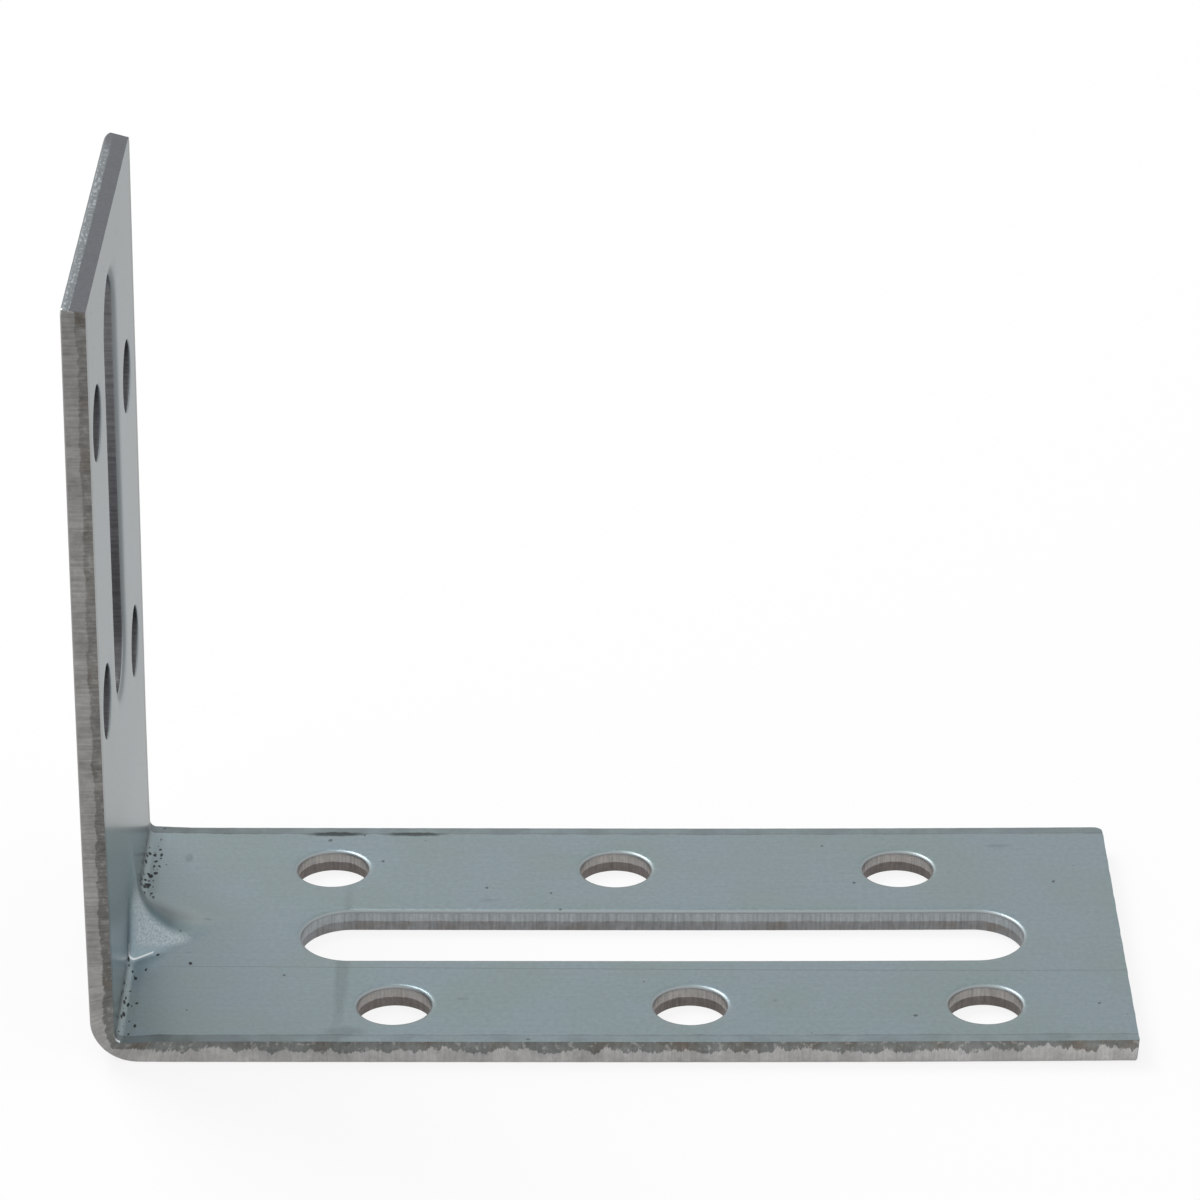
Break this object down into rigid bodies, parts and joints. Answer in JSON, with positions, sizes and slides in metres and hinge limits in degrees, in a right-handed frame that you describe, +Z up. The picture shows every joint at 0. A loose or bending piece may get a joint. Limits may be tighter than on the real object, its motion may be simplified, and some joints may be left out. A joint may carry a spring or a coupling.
{
  "type": "angle bracket",
  "caption": "Folded steel angle bracket with unequal legs, a long slot and staggered screw holes in each leg, and a stiffening dart pressed into the fold.",
  "frame": {"origin": "middle of the bracket's box, on the surface that the flat leg stands on", "axes": "+X along the flat leg, away from the fold; +Y across the strip, towards its back edge; +Z up the upright leg"},
  "size_m": [0.07, 0.03, 0.0545],
  "materials": {
    "zinc_plated_steel": "zinc plated and blue passivated over rolled steel strip, satin, with sheared edges left as cut"
  },
  "bodies": {
    "root": {"bracket": "zinc_plated_steel"}
  },
  "joints": []
}
